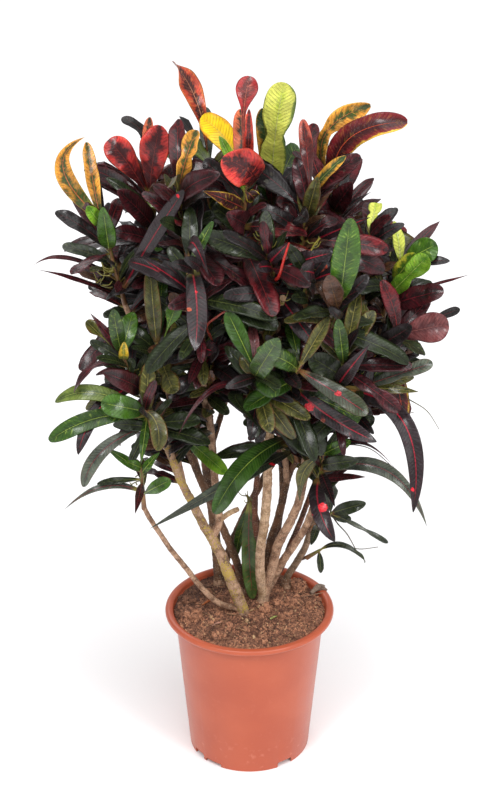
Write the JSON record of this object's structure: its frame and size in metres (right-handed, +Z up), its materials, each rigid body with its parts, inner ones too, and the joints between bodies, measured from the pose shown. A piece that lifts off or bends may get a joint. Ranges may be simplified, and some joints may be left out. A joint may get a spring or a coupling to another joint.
{
  "type": "potted croton",
  "caption": "Bushy croton houseplant with multicoloured leathery leaves on branching woody stems, standing in soil in a round plastic nursery pot.",
  "frame": {"origin": "centre of the pot's underside, on the ground", "axes": "+Z up, -Y towards the side that the picture shows, +X to the right in it"},
  "size_m": [0.5566, 0.5508, 1.0079],
  "materials": {
    "pot": "satin terracotta-coloured plastic",
    "soil": "loose brown coir and peat crumbs",
    "bark": "matt, pale brown, ringed with leaf scars",
    "leaf_maroon": "glossy leathery leaf",
    "leaf_dark_green": "glossy leathery leaf",
    "leaf_green": "glossy leathery leaf",
    "leaf_crown": "glossy leathery leaf",
    "leaf_coral": "glossy leathery leaf",
    "leaf_lime": "glossy leathery leaf"
  },
  "bodies": {
    "root": {"pot": "pot", "soil": "soil", "stems_left": "bark", "stem_back_left": "bark", "stems_centre": "bark", "stem_right": "bark", "stems_back": "bark", "crown_west": "leaf_crown", "crown_northwest": "leaf_crown", "crown_north_front": "leaf_crown", "crown_north_back": "leaf_lime", "crown_centre_front": "leaf_coral", "crown_centre_back": "leaf_lime", "crown_northeast_front": "leaf_crown", "crown_northeast_back": "leaf_crown", "crown_east": "leaf_crown", "east_high": "leaf_green", "east_middle": "leaf_coral", "east_low": "leaf_maroon", "right_middle": "leaf_green", "right_front": "leaf_dark_green", "right_low_front": "leaf_green", "right_high": "leaf_maroon", "low_right": "leaf_maroon", "low_right_outer": "leaf_dark_green", "low_right_twig": "leaf_dark_green", "left_middle": "leaf_green", "left_low": "leaf_dark_green", "low_left": "leaf_green", "left_front": "leaf_maroon", "left_inner": "leaf_green", "left_shade": "leaf_maroon", "middle_shade": "leaf_maroon", "centre_high": "leaf_maroon", "centre_front": "leaf_green", "centre_low": "leaf_dark_green", "low_centre": "leaf_dark_green", "far_left": "leaf_maroon", "far_left_high": "leaf_crown", "far_middle": "leaf_dark_green", "far_middle_high": "leaf_crown", "far_right": "leaf_green", "far_right_high": "leaf_crown", "far_low_right": "leaf_maroon", "far_low_left": "leaf_dark_green"}
  },
  "joints": []
}
